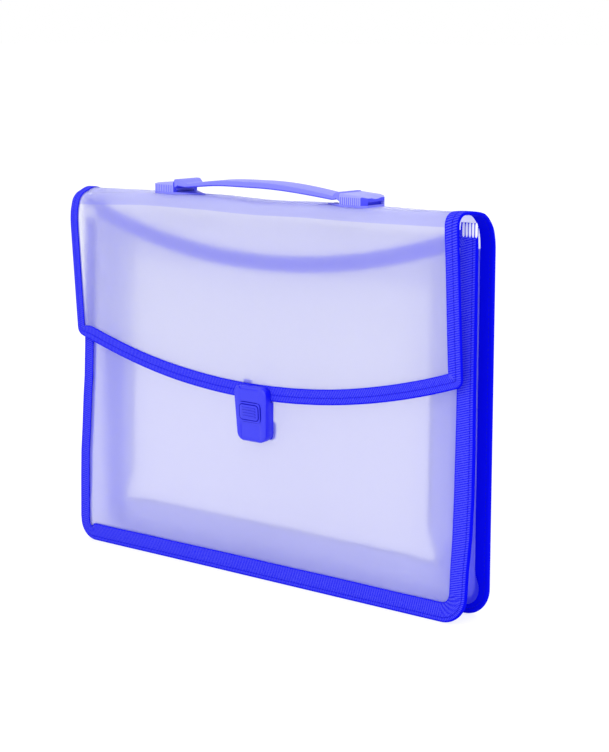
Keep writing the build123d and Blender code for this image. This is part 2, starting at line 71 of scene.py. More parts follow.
def addNode(tree, kind, settings=None, links=None, **sockets):
    # one node: settings are its properties, sockets its plain values, links its inputs
    node = tree.nodes.new(kind)
    for key, value in (settings or {}).items():
        setattr(node, key, value)
    for key, value in sockets.items():
        node.inputs[key.replace("_", " ")].default_value = value
    for key, source in (links or {}).items():
        tree.links.new(source, node.inputs[key])
    return node


def newMaterial(name):
    material = bpy.data.materials.new(name)
    material.use_nodes = True
    material.node_tree.nodes.clear()
    return material, material.node_tree


def smooth(value, low, high):
    # rises gently from 0 at low to 1 at high
    t = np.clip((np.asarray(value, float) - low) / (high - low), 0, 1)
    return t * t * (3 - 2 * t)


# Places taken from the frame
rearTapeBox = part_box("rear_binding")
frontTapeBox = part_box("front_binding")
halfWidth = rearTapeBox[1].x
seamThickness = rearTapeBox[1].y - rearTapeBox[0].y  # tape folded over two films
hemThickness = 2.1 * mm  # tape folded over one film
rearCreaseY = joints["top_hinge"]["pos_m"][1]
frontCreaseY = joints["flap_hinge"]["pos_m"][1]
creaseZ = joints["top_hinge"]["pos_m"][2]
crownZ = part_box("top_panel")[1].z
pressAxis = joints["lock_button_press"]["axis"]
flapLean = math.degrees(math.atan2(pressAxis[2], pressAxis[1]))

print("frame loaded")


# Shape of the sheets


sheetForm = {
    "thickness": 0.8 * mm,
    "rearRadius": 11 * mm,  # bend above the back
    "frontRadius": 7 * mm,  # bend above the flap
    "creaseRun": 3 * mm,  # length over which the flap turns towards the case
    "flapSide": 98 * mm,  # crease to the flap's lower corners
    "flapMiddle": 127.5 * mm,  # crease to the flap's lowest point
    "flapCorner": 5 * mm,
    "crownEnds": (0.9 * mm, 1.6 * mm),  # how much higher the left and right ends of the arch stand
    "crownSag": 1.2 * mm,
    "flapInset": (1.1 * mm, 3.4 * mm),  # how far the flap's left and right edges stand inside the case's
    "sideLean": 0.018,  # extra lean of the flap's two edges
    "softFront": (3.4 * mm, 5.4 * mm, 14 * mm),  # pull of the left front corner: back, down and its reach
    "softRear": (3.4 * mm, 3.2 * mm, 12 * mm),  # pull of the rear corners at both ends: forward, down, reach
    "bandEnd": 1.5 * mm,  # the deeper band ends this far below the front bend
    "archFoot": 10 * mm,  # the painted shade band ends this far below the front bend
    "endsFrom": 0.5,  # share of the half width from which the two ends soften
    "sagTo": 0.28,  # share of the half width at which the crown's sag is over
    "leanFrom": 0.4,
    "waves": 0.35 * mm,  # unevenness of the sheet
    "flapWaves": (21, 34, 9),  # how fast it swings across, down and aslant, in radians per metre
    "backWaves": (17, 13),
    "margin": 1.2 * mm,  # the film ends this far inside the fold of its tape
    "hemMargin": 3 * mm,
    "corner": (19 * mm, 20 * mm),  # radius of the lower corners and the height at which they start
    "straightRows": 4 * mm,  # below the crease by this, the rows begin to follow the flap's curved edge
    "overhang": 5 * mm,
    "grid": 5 * mm,
}


def profileOfLongSheet():
    # the sheet's side view as stretches of (length, turn), from the foot of the back to the flap's edge
    f = sheetForm
    midCrown = crownZ - f["thickness"] / 2
    top = rearCreaseY - frontCreaseY - f["rearRadius"] - f["frontRadius"]
    stretches = [
        (midCrown - f["rearRadius"], 0),
        (f["rearRadius"] * math.pi / 2, 90),
        (top, 0),
        (f["frontRadius"] * math.pi / 2, 90),
        (midCrown - f["frontRadius"] - creaseZ - f["creaseRun"] / 2, 0),
        (f["creaseRun"], flapLean),
        (f["flapMiddle"] + f["overhang"], 0),
    ]
    step = 0.25 * mm
    lengths = np.cumsum([0] + [length for length, turn in stretches])
    angles = np.cumsum([90] + [turn for length, turn in stretches])
    along = np.arange(0, lengths[-1], step)
    angle = np.radians(np.interp(along, lengths, angles))
    y = rearCreaseY + np.concatenate([[0], np.cumsum(np.cos(angle[:-1]) * step)])
    z = np.concatenate([[0], np.cumsum(np.sin(angle[:-1]) * step)])
    return along, y, z, lengths


profileS, profileY, profileZ, profileMarks = profileOfLongSheet()
flapCreaseS = profileMarks[5] + sheetForm["creaseRun"] / 2
splitS = profileMarks[3]  # the two halves of the long sheet meet at the start of the front bend


def longLine(x, s):
    # side view of the long sheet at x: its ends are softer than its middle
    f = sheetForm
    y = np.interp(s, profileS, profileY)
    z = np.interp(s, profileS, profileZ)
    raised = smooth(z, creaseZ - f["archFoot"], crownZ)
    away = np.abs(x) / halfWidth
    left, right = (smooth(side * x / halfWidth, f["endsFrom"], 1) for side in (-1, 1))
    ends = f["crownEnds"][0] * left + f["crownEnds"][1] * right
    z = z + raised * (ends - f["crownSag"] * (1 - smooth(away, 0, f["sagTo"])))
    back, down, reach = f["softFront"]
    near = left * np.exp(-((s - (profileMarks[3] + profileMarks[4]) / 2) / reach) ** 2)
    y, z = y + near * back, z - near * down
    forward, down, reach = f["softRear"]
    near = (left + right) * np.exp(-((s - (profileMarks[1] + profileMarks[2]) / 2) / reach) ** 2)
    y, z = y - near * forward, z - near * down
    below = np.clip(s - flapCreaseS, 0, None)
    return y + f["sideLean"] * below * smooth(away, f["leanFrom"], 1), z


def placeLong(x, s, b):
    # point of the long sheet: x across, s up the back, over the top and down the flap, b out of its face
    x, s, b = np.broadcast_arrays(*(np.asarray(v, float) for v in (x, s, b)))
    f = sheetForm
    y, z = longLine(x, s)
    y0, z0 = longLine(x, s - 0.5 * mm)
    y1, z1 = longLine(x, s + 0.5 * mm)
    angle = np.arctan2(z1 - z0, y1 - y0)
    away = np.abs(x) / halfWidth
    below = np.clip(s - flapCreaseS, 0, None)
    # the waves fade towards the creases and the bound edges
    onFlap = smooth(below, 0, 25 * mm) * (1 - smooth(away, 0.9, 1))
    across, down, aslant = f["flapWaves"]
    out = b + onFlap * f["waves"] * np.sin(x * across + 0.6) * np.sin(below * down + x * aslant)
    onBack = (s < profileMarks[1]) * smooth(z, 5 * mm, 40 * mm) * (1 - smooth(away, 0.88, 0.97))
    across, down = f["backWaves"]
    out = out + onBack * f["waves"] * (np.sin(x * across + z * down) - 1)
    inset = np.where(x < 0, *f["flapInset"]) / halfWidth * smooth(s, profileMarks[2], profileMarks[4])
    return np.stack([x * (1 - inset), y + out * np.sin(angle), z - out * np.cos(angle)], -1)


frontForm = {
    # how far the right and left edges stand behind the straight front, as (height, distance) in mm
    "rightEdge": [(0, 0), (20, 0.2), (38, 1.0), (58, 3.4), (85, 4.3), (118, 3.6), (150, 2.2), (262, -1.6)],
    "leftEdge": [(0, -0.6), (18, -2.6), (49, -2.9), (69, -2.8), (88, -1.7), (111, -0.8), (126, 0.2),
                 (150, 0.6), (262, 0)],
    "wideFrom": 0.25,  # share of the half width from which the front follows its edges
    "turnedIn": 0.88,  # share of the half width from which the right edge turns back
    "turnedShare": 0.65,
    "bulge": 1.2 * mm,
    "bulgeHeights": (10 * mm, 80 * mm, 110 * mm, 230 * mm),  # it rises up to the second, fades from the third
    "cornerRadius": 20 * mm,
    "leftRadius": 14 * mm,  # the front's lower left corner is tighter
    "mouthDip": 33.5 * mm,
    "tapeShort": 2.6 * mm,  # the tape ends lower, so that the front can fold back under the crown
}
frontFootY = frontTapeBox[0].y + hemThickness / 2
frontTopZ = frontTapeBox[1].z
frontTopY = frontTapeBox[1].y - seamThickness + hemThickness / 2


def frontY(x, h):
    # the middle of the front follows its straight lean, and its two edges wander as they do on a soft case
    f = frontForm
    straight = frontFootY + (frontTopY - frontFootY) * h / frontTopZ
    right, left = (np.interp(h / mm, *np.array(f[edge]).T) * mm for edge in ("rightEdge", "leftEdge"))
    away = np.abs(x) / halfWidth
    wide = smooth(away, f["wideFrom"], 1)
    turned = np.clip((away - f["turnedIn"]) / (1 - f["turnedIn"]), 0, 1) ** 1.5
    near = (1 - f["turnedShare"]) * wide + f["turnedShare"] * turned
    heights = f["bulgeHeights"]
    belly = f["bulge"] * smooth(h, *heights[:2]) * (1 - smooth(h, *heights[2:])) * (1 - wide)
    return straight + np.where(x > 0, right * near, left * wide) - belly


def placeFront(x, h, b):
    # point of the front panel: x across, h up, b out of its face
    x, h, b = np.broadcast_arrays(*(np.asarray(v, float) for v in (x, h, b)))
    slope = (frontY(x, h + mm) - frontY(x, h - mm)) / (2 * mm)
    size = np.sqrt(1 + slope ** 2)
    return np.stack([x, frontY(x, h) - b / size, h + b * slope / size], -1)


def mouthHeight(x):
    # height of the front's concave upper edge
    radius = (halfWidth ** 2 + frontForm["mouthDip"] ** 2) / (2 * frontForm["mouthDip"])
    low = frontTopZ - frontForm["mouthDip"]
    return low + radius - np.sqrt(radius ** 2 - np.asarray(x) ** 2)


def flapEdge(x):
    # distance from the flap's crease to its convex lower edge
    f = sheetForm
    dip = f["flapMiddle"] - f["flapSide"]
    radius = (halfWidth ** 2 + dip ** 2) / (2 * dip)
    return f["flapMiddle"] - radius + np.sqrt(radius ** 2 - np.asarray(x) ** 2)


# Mesh building


def addMesh(name, points, faces, material):
    mesh = bpy.data.meshes.new(name)
    mesh.from_pydata(np.asarray(points, float).reshape(-1, 3).tolist(), [], faces)
    shell = bmesh.new()
    shell.from_mesh(mesh)
    bmesh.ops.recalc_face_normals(shell, faces=shell.faces)
    shell.to_mesh(mesh)
    shell.free()
    mesh.update()
    mesh.shade_smooth()
    mesh.materials.append(material)
    piece = bpy.data.objects.new(name, mesh)
    bpy.context.scene.collection.objects.link(piece)
    return piece


def gridFaces(rows, columns, start=0, flip=False, closed=False):
    faces = []
    for i in range(rows - 1):
        for j in range(columns if closed else columns - 1):
            k = (j + 1) % columns
            face = (start + i * columns + j, start + i * columns + k,
                    start + (i + 1) * columns + k, start + (i + 1) * columns + j)
            faces.append(face[::-1] if flip else face)
    return faces


def tubeFaces(rows, columns, start=0):
    # rings of points joined into a tube, with a face over each end
    last = start + (rows - 1) * columns
    caps = [tuple(range(start, start + columns))[::-1], tuple(range(last, last + columns))]
    return gridFaces(rows, columns, start, closed=True) + caps


def flatEnds(piece):
    # the two end faces of a tube stay flat
    for polygon in piece.data.polygons[-2:]:
        polygon.use_smooth = False
    return piece


def sheetSolid(name, front, back, material):
    # closed sheet from two grids of points that face each other
    rows, columns = front.shape[:2]
    count = rows * columns
    points = np.concatenate([front.reshape(-1, 3), back.reshape(-1, 3)])
    faces = gridFaces(rows, columns) + gridFaces(rows, columns, count, flip=True)
    rim = ([(0, j) for j in range(columns)] + [(i, columns - 1) for i in range(1, rows)]
           + [(rows - 1, j) for j in range(columns - 2, -1, -1)] + [(i, 0) for i in range(rows - 2, 0, -1)])
    ring = [i * columns + j for i, j in rim]
    for a, b in zip(ring, ring[1:] + ring[:1]):
        faces.append((b, a, a + count, b + count))
    return addMesh(name, points, faces, material)


def evenly(points, step):
    # the same line with points at an even step
    points = np.asarray(points, float)
    along = np.concatenate([[0], np.cumsum(np.linalg.norm(np.diff(points, axis=0), axis=1))])
    count = max(2, int(round(along[-1] / step)))
    spots = np.linspace(0, along[-1], count + 1)
    return np.stack([np.interp(spots, along, points[:, k]) for k in range(2)], -1), spots


def inward(path):
    # unit vectors to the left of the line's direction
    along = np.gradient(path, axis=0)
    along /= np.linalg.norm(along, axis=1)[:, None]
    return np.stack([-along[:, 1], along[:, 0]], -1)


def arc(centre, radius, start, end, count=16):
    angles = np.radians(np.linspace(start, end, count))
    return [(centre[0] + radius * math.cos(a), centre[1] + radius * math.sin(a)) for a in angles]


def caseLine(leftTop, rightTop, leftRadius, rightRadius):
    # left side down, along the foot and up the right side
    half = halfWidth
    line = [(-half, leftTop), (-half, leftRadius)]
    line += arc((-half + leftRadius, leftRadius), leftRadius, 180, 270)[1:]
    line += arc((half - rightRadius, rightRadius), rightRadius, 270, 360)
    return line + [(half, rightTop)]


def flapLine(top):
    # down the flap's left side, along its lower edge and up its right side
    # heights below the crease are negative
    corner = sheetForm["flapCorner"]
    half = halfWidth
    span = np.linspace(-half + corner, half - corner, 121)
    edge = [(x, -flapEdge(x)) for x in span]
    start = -flapEdge(half) + corner
    bend = []
    for t in np.linspace(0, 1, 9)[:-1]:
        a, b, c = (1 - t) ** 2, 2 * t * (1 - t), t ** 2
        bend.append((-half * (a + b) + c * edge[0][0], start * a - flapEdge(half) * b + c * edge[0][1]))
    line = [(-half, top)] + bend + edge
    return line + [(-x, h) for x, h in bend[::-1]] + [(half, top)]


# Woven tape, folded over an edge and stitched

tapeForm = {
    "width": 11 * mm,
    "frontWidth": 13.6 * mm,  # the front's own tape is wider
    "leftNarrow": 0.3,  # share of its face that the tape loses along the left sides
    "narrowFrom": 14 * mm,  # distance from the left side at which that starts
    "ply": 0.6 * mm,
    "edgeSeam": 3.4 * mm,  # the seam's distance from the fold on the case's edges
    "hemSeam": 5 * mm,  # and on the flap and the mouth
    "hemInside": 0.7,  # share of the rib relief and painted rib highlight on the inner face of a hem
    "crown": 0.12 * mm,
    "edgeDrop": 0.2 * mm,
    "wander": 0.12 * mm,  # unevenness of the tape's free edge
    "rearThins": (238 * mm, 254 * mm),  # heights between which a seam thins to a hem, as the pleat ends
    "frontThins": (246 * mm, 257 * mm),
    "ribPitch": 1.56 * mm,  # woven cross ribs, drawn a little coarser than they are so that they show
    "ribHeight": 0.09 * mm,
    "ribSlant": 0.3,
    "stitchPitch": 2.9 * mm,
    "stitchLength": 1.9 * mm,
    "stitchRadius": 0.26 * mm,
    "stitchSink": 0.2 * mm,  # the seam pulls a groove into the tape
    "grooveWidth": 0.5 * mm,
}


def tapeFace(stitchLine, width):
    # across one face from its free edge to the fold:
    # distance from the fold, height above the face, and the share of rib relief and painted rib highlight,
    # which is less at the fold and the free edge, and less in the seam's groove as painted shade
    f = tapeForm
    shares = np.concatenate([[1.0, 0.98, 0.95, 0.9], np.linspace(0.84, 0.12, 8)])
    spots = np.sort(np.concatenate([shares * width, stitchLine + np.array([-0.7, 0, 0.7]) * mm]))[::-1]
    groove = np.exp(-((spots - stitchLine) / f["grooveWidth"]) ** 2)
    crown = f["crown"] * np.sin(np.clip(spots / width, 0, 1) * math.pi)
    edge = f["edgeDrop"] * smooth(spots, 0.96 * width, width)
    ribAndHighlight = smooth(spots, 0.5 * mm, 1.6 * mm) * (1 - smooth(spots, 0.93 * width, width)) * (1 - 0.55 * groove)
    return list(zip(spots, crown - edge - groove * f["stitchSink"], ribAndHighlight))


def foldedTape(name, line, place, high, low, stitchLine, insideRibAndHighlight=0.0, width=tapeForm["width"]):
    # line is the tape's folded edge, place maps it to the sheet, high and low are its two outer faces
    f = tapeForm
    path, along = evenly(line, f["ribPitch"] / 3)
    side = inward(path)
    high, low = (np.broadcast_to(v(path) if callable(v) else v, len(path)) for v in (high, low))
    wander = f["wander"] * np.sin(along * 47) * np.sin(along * 19 + 1)
    share = 1 - f["leftNarrow"] * smooth(-path[:, 0], halfWidth - f["narrowFrom"], halfWidth)

    def rib(spot):
        return f["ribHeight"] * np.cos((along + f["ribSlant"] * spot) * 2 * math.pi / f["ribPitch"])

    face = tapeFace(stitchLine, width)
    ring = [(spot, high + rise + rib(spot) * ribAndHighlight, ribAndHighlight) for spot, rise, ribAndHighlight in face]
    middle, half = (high + low) / 2, (high - low) / 2
    for angle in np.radians(np.linspace(70, -70, 7)):
        ring.append((half * (1 - math.cos(angle)), middle + half * math.sin(angle), 0))
    ring += [(spot, low - rise - rib(spot) * ribAndHighlight, ribAndHighlight * insideRibAndHighlight) for spot, rise, ribAndHighlight in face[::-1]]
    ring += [(width, low + f["ply"], 0), (1.5 * f["ply"], low + f["ply"], 0),
             (1.5 * f["ply"], high - f["ply"], 0), (width, high - f["ply"], 0)]
    grid, spots = [], []
    for spot, b, ribAndHighlight in ring:
        reach = np.broadcast_to(spot, len(path)) * share + wander * (np.max(spot) > width / 2)
        grid.append(place(path[:, 0] + reach * side[:, 0], path[:, 1] + reach * side[:, 1], b))
        spots.append(np.stack([along, np.broadcast_to(spot, len(path)), np.full(len(path), float(ribAndHighlight))], -1))
    grid = np.stack(grid, 1)
    piece = flatEnds(addMesh(name, grid, tubeFaces(*grid.shape[:2]), woven))
    # the material reads from this where it is along the tape, across it, and the share of its painted rib
    # highlight
    places = piece.data.attributes.new("tapePlace", "FLOAT_VECTOR", "POINT")
    places.data.foreach_set("vector", np.stack(spots, 1).reshape(-1))
    return piece


def stitches(name, line, place, high, low, stitchLine):
    # short raised threads along both faces of a tape
    f = tapeForm
    sides = 6
    path, along = evenly(line, f["stitchPitch"])
    side = inward(path)
    ahead = np.stack([side[:, 1], -side[:, 0]], -1)
    high, low = (np.broadcast_to(v(path) if callable(v) else v, len(path)) for v in (high, low))
    points, faces = [], []
    turns = np.radians(np.arange(0, 360, 360 / sides))
    lengths = np.linspace(-1, 1, 5)
    for i in range(1, len(path) - 1):
        for face in (high[i] - f["stitchSink"] * 0.6, low[i] + f["stitchSink"] * 0.6):
            start = len(points)
            for t in lengths:
                girth = f["stitchRadius"] * (1 - 0.75 * t ** 4)
                for turn in turns:
                    run = t * f["stitchLength"] / 2
                    a = stitchLine + girth * math.cos(turn)
                    spot = path[i] + side[i] * a + ahead[i] * run
                    points.append(place(spot[0], spot[1], face + girth * math.sin(turn)))
            faces += tubeFaces(len(lengths), sides, start)
    return addMesh(name, points, faces, thread)


# Materials


filmLooks = {
    # solid: share of the light that the film itself gives back
    # milk: share of that which glows through from behind
    "frostedPolypropylene": {"colour": "#D4D5FF", "solid": 0.27, "milk": 0.6},
    "flapPaintedLightPolypropylene": {"colour": "#F6F7FF", "solid": 0.25, "milk": 0.6},  # painted light: the flap's film is drawn paler than the same film elsewhere, as it catches more light
    "pleatedPolypropylene": {"colour": "#D0D2FF", "solid": 0.33, "milk": 0.6},  # two plies lie close together
    "seamShadePolypropylene": {"colour": "#5254FF", "solid": 0.7, "milk": 0.5},  # painted shade: deep blue where tape stands behind the film and shade falls between the bindings
    "bendShadePolypropylene": {"colour": "#CDCFFF", "solid": 0.42, "milk": 0.6},  # painted shade: the bent band is drawn deeper than the flat film
}


def frostedFilm(name):
    # polypropylene film, calendered with a frosted face: milky and soft, it blurs what stands behind it
    # the frost is a few hundredths of a millimetre, drawn at 0.6 mm so that it shows
    # its clear part bends light by 1.18, less than 1.49, as so thin a film hardly shifts what is behind it
    look = {"haze": 0.5, "bend": 1.18, "roughness": 0.34, "grain": 0.6 * mm, "relief": 0.05 * mm}
    look.update(filmLooks[name])
    material, tree = newMaterial(name)
    coordinates = addNode(tree, "ShaderNodeTexCoord")
    grain = addNode(tree, "ShaderNodeTexNoise", links={"Vector": coordinates.outputs["Object"]},
                    Scale=1 / look["grain"], Detail=2.0)
    bump = addNode(tree, "ShaderNodeBump", links={"Height": grain.outputs["Fac"]},
                   Strength=0.1, Distance=look["relief"])
    face = addNode(tree, "ShaderNodeBsdfPrincipled", links={"Normal": bump.outputs["Normal"]},
                   Base_Color=hexColour(look["colour"]), Roughness=look["roughness"], IOR=1.49)
    milk = addNode(tree, "ShaderNodeBsdfTranslucent", Color=hexColour(look["colour"]))
    body = addNode(tree, "ShaderNodeMixShader", links={1: face.outputs[0], 2: milk.outputs[0]},
                   Fac=look["milk"])
    haze = addNode(tree, "ShaderNodeBsdfGlass", {"distribution": "MULTI_GGX"}, Color=(1, 1, 1, 1),
                   Roughness=look["haze"], IOR=look["bend"])
    # lamp light passes straight through, so that the pocket behind the film is lit
    through = addNode(tree, "ShaderNodeBsdfTransparent", Color=(1, 1, 1, 1))
    rays = addNode(tree, "ShaderNodeLightPath")
    lampLight = addNode(tree, "ShaderNodeMath", {"operation": "MAXIMUM"},
                        {0: rays.outputs["Is Shadow Ray"], 1: rays.outputs["Is Diffuse Ray"]})
    clear = addNode(tree, "ShaderNodeMixShader",
                    links={0: lampLight.outputs[0], 1: haze.outputs[0], 2: through.outputs[0]})
    mix = addNode(tree, "ShaderNodeMixShader", links={1: clear.outputs[0], 2: body.outputs[0]},
                  Fac=look["solid"])
    addNode(tree, "ShaderNodeOutputMaterial", links={"Surface": mix.outputs[0]})
    return material


def wovenTape():
    # polyester binding tape, woven: deep blue and dull, with slanted cross ribs whose tops carry a painted
    # highlight in a lighter blue
    # real threads lie about 0.25 mm apart, drawn at 0.5 mm so that they show
    # painted highlight: the light colour is the lighter blue drawn on the ribs' tops where they would catch the
    # light
    look = {"colour": "#0307E6", "light": "#5456EC", "threadSpacing": 0.5 * mm, "relief": 0.1 * mm,
            "ribShare": 0.35, "darkest": 0.1, "lightest": 0.95, "roughness": 0.7, "specular": 0.04}
    material, tree = newMaterial("wovenPolyesterTape")
    f = tapeForm
    place = addNode(tree, "ShaderNodeAttribute", {"attribute_name": "tapePlace"})
    parts = addNode(tree, "ShaderNodeSeparateXYZ", links={"Vector": place.outputs["Vector"]})
    slant = addNode(tree, "ShaderNodeMath", {"operation": "MULTIPLY_ADD"},
                    {0: parts.outputs["Y"], 2: parts.outputs["X"]})
    slant.inputs[1].default_value = f["ribSlant"]
    turn = addNode(tree, "ShaderNodeMath", {"operation": "MULTIPLY"}, {0: slant.outputs[0]})
    turn.inputs[1].default_value = 2 * math.pi / f["ribPitch"]
    rib = addNode(tree, "ShaderNodeMath", {"operation": "COSINE"}, {0: turn.outputs[0]})
    coordinates = addNode(tree, "ShaderNodeTexCoord")
    threads = addNode(tree, "ShaderNodeTexNoise", links={"Vector": coordinates.outputs["Object"]},
                      Scale=1 / look["threadSpacing"], Detail=1.0)
    height = addNode(tree, "ShaderNodeMath", {"operation": "MULTIPLY_ADD"},
                     {0: rib.outputs[0], 2: threads.outputs["Fac"]})
    height.inputs[1].default_value = look["ribShare"]
    raised = addNode(tree, "ShaderNodeMapRange", links={"Value": height.outputs[0]},
                     From_Min=look["darkest"], From_Max=look["lightest"], To_Min=0.0, To_Max=1.0)
    shown = addNode(tree, "ShaderNodeMath", {"operation": "MULTIPLY"},
                    {0: raised.outputs[0], 1: parts.outputs["Z"]})
    mix = addNode(tree, "ShaderNodeMix", {"data_type": "RGBA"}, {"Factor": shown.outputs[0]})
    mix.inputs[6].default_value = hexColour(look["colour"])
    mix.inputs[7].default_value = hexColour(look["light"])
    bump = addNode(tree, "ShaderNodeBump", links={"Height": threads.outputs["Fac"]},
                   Strength=0.3, Distance=look["relief"])
    body = addNode(tree, "ShaderNodeBsdfPrincipled",
                   links={"Base Color": mix.outputs[2], "Normal": bump.outputs["Normal"]},
                   Roughness=look["roughness"], Specular_IOR_Level=look["specular"])
    addNode(tree, "ShaderNodeOutputMaterial", links={"Surface": body.outputs[0]})
    return material


plasticLooks = {
    # colour, roughness and strength of its gloss
    "twistedPolyesterThread": ("#0609C2", 0.6, 0.15),  # sewing thread: darker than the tape, nearly dull
    # ABS, with painted shade: the lock is drawn lighter on its face than on its sides, and darkest in its gaps,
    # as lit and shaded copies of one plastic
    "mouldedLockPlastic": ("#3538E8", 0.38, 0.35),
    "lockPlasticPaintedSideShade": ("#1114F0", 0.4, 0.35),
    "lockPlasticPaintedGapShade": ("#0506B4", 0.6, 0.1),
    # tinted polypropylene for the strap and the caps; painted shade: a deeper copy is drawn on the strap's
    # underside and on the caps' sideways faces
    "mouldedHandlePlastic": ("#7C7EF3", 0.4, 0.35),
    "mouldedCapPlastic": ("#989AF6", 0.4, 0.35),
    "handlePlasticPaintedShade": ("#4446F0", 0.45, 0.35),
    "sealedRibPaintedHighlight": ("#F6F6FF", 0.2, 0.5),  # painted highlight: the sealed ribs are drawn nearly white and glossy
}
plasticGrain = {
    "size": 0.5 * mm,  # a mould's sparked face is finer, drawn coarser so that it shows
    "depth": 0.05 * mm,
    "strength": 0.08,
}


def plainPlastic(name):
    # one plastic all through, injection moulded, spun or melted: an even satin gloss with a fine grain
    colour, roughness, gloss = plasticLooks[name]
    material, tree = newMaterial(name)
    coordinates = addNode(tree, "ShaderNodeTexCoord")
    grain = addNode(tree, "ShaderNodeTexNoise", links={"Vector": coordinates.outputs["Object"]},
                    Scale=1 / plasticGrain["size"], Detail=3.0)
    bump = addNode(tree, "ShaderNodeBump", links={"Height": grain.outputs["Fac"]},
                   Strength=plasticGrain["strength"], Distance=plasticGrain["depth"])
    body = addNode(tree, "ShaderNodeBsdfPrincipled", links={"Normal": bump.outputs["Normal"]},
                   Base_Color=hexColour(colour), Roughness=roughness, IOR=1.49, Specular_IOR_Level=gloss)
    addNode(tree, "ShaderNodeOutputMaterial", links={"Surface": body.outputs[0]})
    return material


def drawnSteel():
    # spring steel, drawn to wire: plain bright metal
    material, tree = newMaterial("drawnSpringSteel")
    body = addNode(tree, "ShaderNodeBsdfPrincipled",
                   Base_Color=hexColour("#B6B6BE"), Metallic=1.0, Roughness=0.3)
    addNode(tree, "ShaderNodeOutputMaterial", links={"Surface": body.outputs[0]})
    return material


frosted = frostedFilm("frostedPolypropylene")
flapPaintedLightFilm = frostedFilm("flapPaintedLightPolypropylene")
pleated = frostedFilm("pleatedPolypropylene")
bendShadeFilm = frostedFilm("bendShadePolypropylene")
seamShadeFilm = frostedFilm("seamShadePolypropylene")
woven = wovenTape()
thread = plainPlastic("twistedPolyesterThread")
lockPlastic = plainPlastic("mouldedLockPlastic")
lockSidePaintedShade = plainPlastic("lockPlasticPaintedSideShade")
lockGapPaintedShade = plainPlastic("lockPlasticPaintedGapShade")
handlePlastic = plainPlastic("mouldedHandlePlastic")
capPlastic = plainPlastic("mouldedCapPlastic")
handlePaintedShade = plainPlastic("handlePlasticPaintedShade")
sealedRibHighlightPlastic = plainPlastic("sealedRibPaintedHighlight")
springWire = drawnSteel()
print("materials made")


# Sheets


def shadeBend(piece, s, columns):
    # painted shade: the bent stretch of the long sheet is drawn deeper than the flat ones
    piece.data.materials.append(bendShadeFilm)
    bent = (s[:-1] >= profileMarks[1] - 0.1 * mm) & (s[1:] <= sheetForm["bandEnd"] + profileMarks[4])
    rowFaces = columns - 1
    for side in range(2):
        for i in np.flatnonzero(bent):
            first = (side * (len(s) - 1) + int(i)) * rowFaces
            for polygon in piece.data.polygons[first:first + rowFaces]:
                polygon.material_index = 1


def cornerTrim(height):
    # how far a sheet's rounded lower corners stand inside its sides at this height
    radius, top = sheetForm["corner"]
    trim = radius - np.sqrt(np.clip(radius ** 2 - (top - height) ** 2, 0, None))
    return np.where(height < top, trim, 0)


def longSheet():
    f = sheetForm
    half = halfWidth - f["margin"]
    x = np.linspace(-half, half, 73)
    t = f["thickness"] / 2
    bend = profileMarks[1]
    s = np.concatenate([np.arange(2 * mm, bend, f["grid"]), np.linspace(bend, splitS, 26)])
    across = x[None, :] / half * (half - cornerTrim(s))[:, None]
    rear = sheetSolid("rearSheet", placeLong(across, s[:, None], t), placeLong(across, s[:, None], -t), frosted)
    shadeBend(rear, s, len(x))
    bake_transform(rear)
    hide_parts("back_panel", "top_panel")
    straight = f["straightRows"]
    upper = np.linspace(splitS - flapCreaseS, straight, 22)[:-1]
    s = np.concatenate([upper, np.linspace(straight, f["flapMiddle"], 30)])
    share = (s[:, None] - straight) / (f["flapMiddle"] - straight)
    curved = straight + share * (flapEdge(x)[None, :] - f["hemMargin"] - straight)
    rows = flapCreaseS + np.where(share > 0, curved, s[:, None])
    flap = sheetSolid("flapSheet", placeLong(x[None, :], rows, t), placeLong(x[None, :], rows, -t), flapPaintedLightFilm)
    shadeBend(flap, s + flapCreaseS, len(x))
    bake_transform(flap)
    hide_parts("flap_panel")


longSheet()


def frontSheet():
    t = sheetForm["thickness"] / 2
    half = halfWidth - sheetForm["margin"]
    x = np.linspace(-half, half, 91)
    # rows from the foot to the mouth, closer together at the rounded corners
    share = np.concatenate([np.linspace(0, 0.12, 9)[:-1], np.linspace(0.12, 1, 50)])
    low, high = 2.5 * mm, mouthHeight(x) - 2 * mm
    h = low + share[:, None] * (high[None, :] - low)
    across = x[None, :] / half * (half - cornerTrim(h))
    piece = sheetSolid("frontSheet", placeFront(across, h, t), placeFront(across, h, -t), frosted)
    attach(piece, "front")
    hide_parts("front_panel")


frontSheet()


gussetForm = {
    "flange": 11.4 * mm,
    "sidePleat": 42.5 * mm,  # how far the ridge of the pleat stands in from the sides
    "bottomPleat": 36.5 * mm,
    "top": 246 * mm,
    "thickness": 0.8 * mm,
    "offset": 0.85 * mm,  # from the middle of the back and the front film
    "outerEdge": 1.6 * mm,
    "radii": (18.4 * mm, 9 * mm, 8 * mm),  # lower corners of the outer edge, the flange and the ridge
    # the lower corners are full: share of the flange that swells outwards, its place and its reach
    "fullness": 0.72,
    "fullPlace": (164 * mm, 14 * mm),
    "fullReach": (13 * mm, 15 * mm),
    # there the ridge is pulled outwards and down
    "pull": (9 * mm, 3 * mm),
    "pullPlace": (138 * mm, 38 * mm),
    "pullReach": (9 * mm, 12 * mm),
    # painted shade: beside the upright seams, where the film lies doubled, and round the lower corners, it is
    # drawn deeper
    "deepFrom": 150 * mm,
    "deepCorner": 50 * mm,
}


